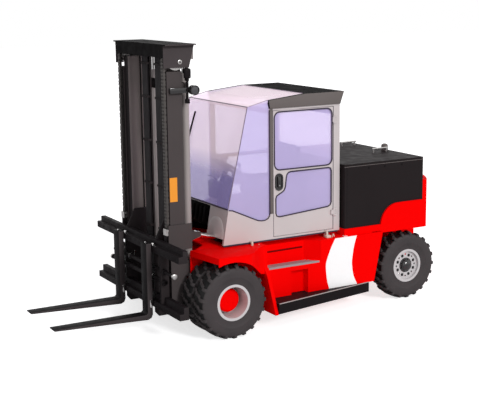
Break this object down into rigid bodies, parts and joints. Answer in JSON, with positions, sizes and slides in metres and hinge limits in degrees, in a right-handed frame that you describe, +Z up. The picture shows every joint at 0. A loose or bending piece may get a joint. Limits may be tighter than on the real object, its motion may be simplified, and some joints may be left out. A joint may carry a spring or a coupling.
{
  "type": "electric counterbalance forklift truck",
  "caption": "Electric counterbalance forklift truck with enclosed cab, two-stage mast, carriage with sliding forks, twin front tyres and steered rear wheels.",
  "frame": {"origin": "centre of the ground rectangle that the truck covers", "axes": "+X the truck's left, -Y forwards to the fork tips, +Z up"},
  "size_m": [2.36, 5.05, 3.235],
  "materials": {
    "red_paint": "gloss",
    "cab_grey_paint": "satin",
    "mast_paint": "satin",
    "black_paint": "satin",
    "hood_paint": "satin",
    "casting_red": "painted",
    "battery_case": "matt",
    "tread_grey": "anti-slip",
    "bright_steel": "bright",
    "chrome": "polished",
    "cylinder_grey": "satin",
    "rim_silver": "silver",
    "tyre_rubber": "matt",
    "tinted_glass": "tinted",
    "seat_cloth": "woven",
    "black_plastic": "matt",
    "chain_steel": "oiled",
    "orange_plate": "gloss"
  },
  "bodies": {
    "chassis": {"frame": "red_paint", "axles": "black_paint", "fender_left": "red_paint", "fender_right": "red_paint", "side_body_left": "red_paint", "side_body_right": "red_paint", "lower_steps": "black_paint", "step_treads": "tread_grey", "battery_tray": "red_paint", "battery": "battery_case", "hood": "hood_paint", "counterweight": "casting_red", "cab_shell": "cab_grey_paint", "cab_glass": "tinted_glass", "cab_roof": "black_paint", "cab_mounts": "bright_steel", "seat": "seat_cloth", "seat_base": "black_plastic", "steering_wheel": "black_plastic"},
    "hood_lid": {"hood_lid": "hood_paint", "lid_handles": "bright_steel"},
    "door_left": {"door_frame_left": "cab_grey_paint", "door_glass_left": "tinted_glass"},
    "door_right": {"door_frame_right": "cab_grey_paint", "door_glass_right": "tinted_glass"},
    "front_wheels_left": {"tyres_front_left": "tyre_rubber", "rims_front_left": "rim_silver", "drive_hub_left": "red_paint"},
    "front_wheels_right": {"tyres_front_right": "tyre_rubber", "rims_front_right": "rim_silver", "drive_hub_right": "red_paint"},
    "knuckle_left": {"knuckle_left": "black_paint"},
    "knuckle_right": {"knuckle_right": "black_paint"},
    "rear_wheel_left": {"tyre_rear_left": "tyre_rubber", "rim_rear_left": "rim_silver", "hub_rear_left": "black_paint"},
    "rear_wheel_right": {"tyre_rear_right": "tyre_rubber", "rim_rear_right": "rim_silver", "hub_rear_right": "black_paint"},
    "outer_mast": {"outer_mast": "mast_paint", "lift_barrels": "cylinder_grey", "chains_rear": "chain_steel", "lamp_arm": "black_paint", "orange_plate": "orange_plate"},
    "inner_mast": {"inner_mast": "mast_paint", "mast_cap": "black_paint", "chain_wheels": "bright_steel", "lift_rods": "chrome", "chains_front": "chain_steel"},
    "carriage": {"carriage": "mast_paint"},
    "fork_left": {"fork_left": "black_paint"},
    "fork_right": {"fork_right": "black_paint"},
    "tilt_barrel_left": {"tilt_barrel_left": "black_paint"},
    "tilt_barrel_right": {"tilt_barrel_right": "black_paint"},
    "tilt_rod_left": {"tilt_rod_left": "chrome"},
    "tilt_rod_right": {"tilt_rod_right": "chrome"}
  },
  "joints": [
    {"name": "mast_tilt", "type": "hinge", "parent": "chassis", "child": "outer_mast", "pos_m": [0, -0.895, 0.42], "axis": [-1, 0, 0], "range_deg": [-5, 10]},
    {"name": "inner_lift", "type": "slide", "parent": "outer_mast", "child": "inner_mast", "axis": [0, 0, 1], "range_m": [0, 1.65], "deforming": ["chains_rear"]},
    {"name": "carriage_lift", "type": "slide", "parent": "inner_mast", "child": "carriage", "axis": [0, 0, 1], "range_m": [0, 1.65], "deforming": ["chains_front"]},
    {"name": "fork_shift_left", "type": "slide", "parent": "carriage", "child": "fork_left", "axis": [1, 0, 0], "range_m": [-0.28, 0.58]},
    {"name": "tilt_barrel_swing_left", "type": "hinge", "parent": "chassis", "child": "tilt_barrel_left", "pos_m": [0.51, 0.255, 0.825], "axis": [-1, 0, 0], "range_deg": [-1, 1]},
    {"name": "tilt_rod_stroke_left", "type": "slide", "parent": "tilt_barrel_left", "child": "tilt_rod_left", "axis": [0, 0.9712, -0.2382], "range_m": [-0.065, 0.125]},
    {"name": "front_wheel_spin_left", "type": "hinge", "parent": "chassis", "child": "front_wheels_left", "pos_m": [0.9205, -0.695, 0.42], "axis": [1, 0, 0], "continuous": true},
    {"name": "steer_left", "type": "hinge", "parent": "chassis", "child": "knuckle_left", "pos_m": [0.54, 1.935, 0.42], "axis": [0, 0, 1], "range_deg": [-55, 55]},
    {"name": "rear_wheel_spin_left", "type": "hinge", "parent": "knuckle_left", "child": "rear_wheel_left", "pos_m": [0.732, 1.935, 0.42], "axis": [1, 0, 0], "continuous": true},
    {"name": "door_left", "type": "hinge", "parent": "chassis", "child": "door_left", "pos_m": [0.744, 0.905, 1.72], "axis": [0, 0, 1], "range_deg": [0, 80]},
    {"name": "fork_shift_right", "type": "slide", "parent": "carriage", "child": "fork_right", "axis": [-1, 0, 0], "range_m": [-0.28, 0.58]},
    {"name": "tilt_barrel_swing_right", "type": "hinge", "parent": "chassis", "child": "tilt_barrel_right", "pos_m": [-0.51, 0.255, 0.825], "axis": [-1, 0, 0], "range_deg": [-1, 1]},
    {"name": "tilt_rod_stroke_right", "type": "slide", "parent": "tilt_barrel_right", "child": "tilt_rod_right", "axis": [0, 0.9712, -0.2382], "range_m": [-0.065, 0.125]},
    {"name": "front_wheel_spin_right", "type": "hinge", "parent": "chassis", "child": "front_wheels_right", "pos_m": [-0.9205, -0.695, 0.42], "axis": [1, 0, 0], "continuous": true},
    {"name": "steer_right", "type": "hinge", "parent": "chassis", "child": "knuckle_right", "pos_m": [-0.54, 1.935, 0.42], "axis": [0, 0, 1], "range_deg": [-55, 55]},
    {"name": "rear_wheel_spin_right", "type": "hinge", "parent": "knuckle_right", "child": "rear_wheel_right", "pos_m": [-0.732, 1.935, 0.42], "axis": [1, 0, 0], "continuous": true},
    {"name": "door_right", "type": "hinge", "parent": "chassis", "child": "door_right", "pos_m": [-0.744, 0.905, 1.72], "axis": [0, 0, -1], "range_deg": [0, 80]},
    {"name": "lid_open", "type": "hinge", "parent": "chassis", "child": "hood_lid", "pos_m": [0, 1.008, 1.748], "axis": [1, 0, 0], "range_deg": [0, 70]}
  ],
  "couplings": [
    {"joint": "carriage_lift", "follows": "inner_lift", "ratio": 1},
    {"joint": "steer_right", "follows": "steer_left", "ratio": 1},
    {"joint": "tilt_barrel_swing_left", "follows": "mast_tilt", "ratio": 0.0376},
    {"joint": "tilt_rod_stroke_left", "follows": "mast_tilt", "m_per_rad": 0.66796},
    {"joint": "tilt_barrel_swing_right", "follows": "mast_tilt", "ratio": 0.0376},
    {"joint": "tilt_rod_stroke_right", "follows": "mast_tilt", "m_per_rad": 0.66796}
  ]
}
